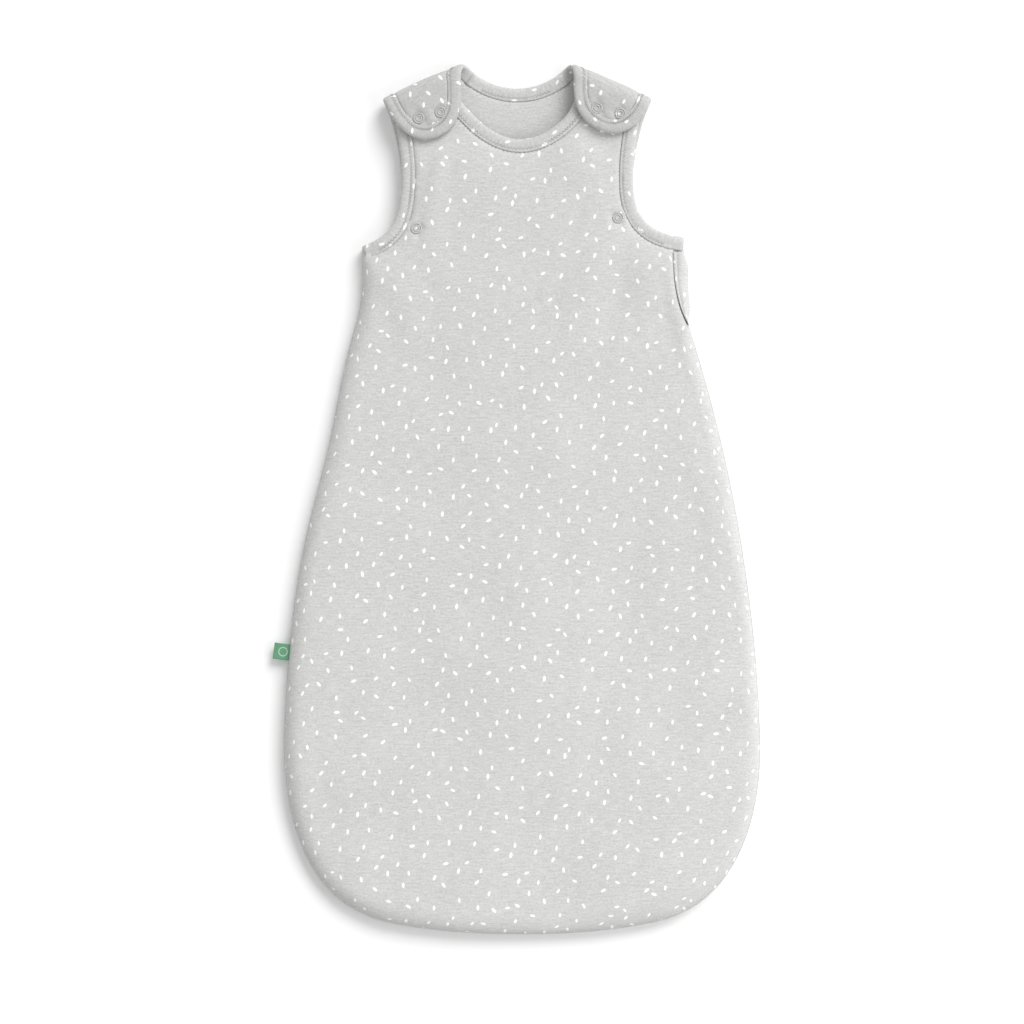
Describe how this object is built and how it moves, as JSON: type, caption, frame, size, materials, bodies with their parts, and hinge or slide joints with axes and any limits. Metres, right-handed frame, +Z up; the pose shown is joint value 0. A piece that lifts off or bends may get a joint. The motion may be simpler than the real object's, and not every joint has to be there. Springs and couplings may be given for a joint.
{
  "type": "baby sleeping bag",
  "caption": "Sleeveless padded baby sleeping bag with fold-over shoulder straps on press studs, a concealed side zip with a garage, and a front that opens.",
  "frame": {"origin": "on the underside of the back panel, on the centre line, half way between the shoulder folds and the hem", "axes": "+X across the bag to the side with the zip, +Y towards the neck, +Z up out of the front of the bag as it lies on its back"},
  "size_m": [0.3936, 0.7, 0.0202],
  "materials": {
    "outer_jersey": "melange cotton jersey with a small rice-grain print",
    "lining_jersey": "plain melange cotton jersey",
    "wadding": "thin polyester wadding",
    "binding_jersey": "printed melange jersey, folded round the edge and coverstitched",
    "stud_enamel": "satin grey enamel",
    "zip_tape": "woven polyester tape",
    "zip_coil": "moulded polyester coil",
    "slider_enamel": "satin grey enamel",
    "label_weave": "woven label ribbon"
  },
  "bodies": {
    "bag": {"front_shell": "outer_jersey", "front_wadding": "wadding", "front_lining": "lining_jersey", "back_shell": "outer_jersey", "back_wadding": "wadding", "back_lining": "lining_jersey", "left_seam": "outer_jersey", "front_neck_binding": "binding_jersey", "back_neck_binding": "binding_jersey", "left_front_arm_binding": "binding_jersey", "right_front_arm_binding": "binding_jersey", "left_back_arm_binding": "binding_jersey", "right_back_arm_binding": "binding_jersey", "left_shoulder_roll": "outer_jersey", "right_shoulder_roll": "outer_jersey", "left_front_studs": "stud_enamel", "right_front_studs": "stud_enamel", "left_front_stud_rings": "stud_enamel", "right_front_stud_rings": "stud_enamel", "underarm_front_rings": "stud_enamel", "underarm_sockets": "stud_enamel", "underarm_studs": "stud_enamel", "underarm_back_rings": "stud_enamel", "zip_front_tape_top": "zip_tape", "zip_back_tape": "zip_tape", "zip_back_coil": "zip_coil", "zip_top_stops": "zip_coil", "zip_end_stop": "zip_coil", "zip_garage": "outer_jersey", "side_label": "label_weave"},
    "left_strap": {"left_strap_shell": "outer_jersey", "left_strap_wadding": "wadding", "left_strap_lining": "lining_jersey", "left_strap_binding": "binding_jersey", "left_strap_rings": "stud_enamel", "left_strap_sockets": "stud_enamel"},
    "right_strap": {"right_strap_shell": "outer_jersey", "right_strap_wadding": "wadding", "right_strap_lining": "lining_jersey", "right_strap_binding": "binding_jersey", "right_strap_rings": "stud_enamel", "right_strap_sockets": "stud_enamel"},
    "front_flap": {"flap_shell": "outer_jersey", "flap_wadding": "wadding", "flap_lining": "lining_jersey", "zip_front_tape": "zip_tape", "zip_front_coil": "zip_coil"},
    "zip_slider": {"zip_slider": "slider_enamel"},
    "zip_pull": {"zip_pull": "slider_enamel"}
  },
  "joints": [
    {"name": "left_strap_fold", "type": "hinge", "parent": "bag", "child": "left_strap", "pos_m": [-0.07611, 0.327, 0.0099], "axis": [-0.915, -0.4035, 0], "range_deg": [0, 95], "deforming": ["left_shoulder_roll"]},
    {"name": "right_strap_fold", "type": "hinge", "parent": "bag", "child": "right_strap", "pos_m": [0.07011, 0.327, 0.0099], "axis": [-0.915, 0.4035, 0], "range_deg": [0, 95], "deforming": ["right_shoulder_roll"]},
    {"name": "front_opening", "type": "hinge", "parent": "bag", "child": "front_flap", "pos_m": [0.01489, -0.1005, 0.019], "axis": [-0.4461, -0.895, 0], "range_deg": [0, 170], "deforming": ["zip_front_tape", "zip_front_coil"]},
    {"name": "zip_travel", "type": "hinge", "parent": "bag", "child": "zip_slider", "pos_m": [-0.999, -0.228, 0.007], "axis": [0, 0, -1], "range_deg": [0, 15.4], "deforming": ["zip_back_coil"]},
    {"name": "pull_swing", "type": "hinge", "parent": "zip_slider", "child": "zip_pull", "pos_m": [0.13539, 0.13072, 0.007], "axis": [0, 0, 1], "range_deg": [0, 120]}
  ],
  "couplings": [
    {"joint": "zip_travel", "follows": "front_opening", "ratio": 0.09}
  ]
}
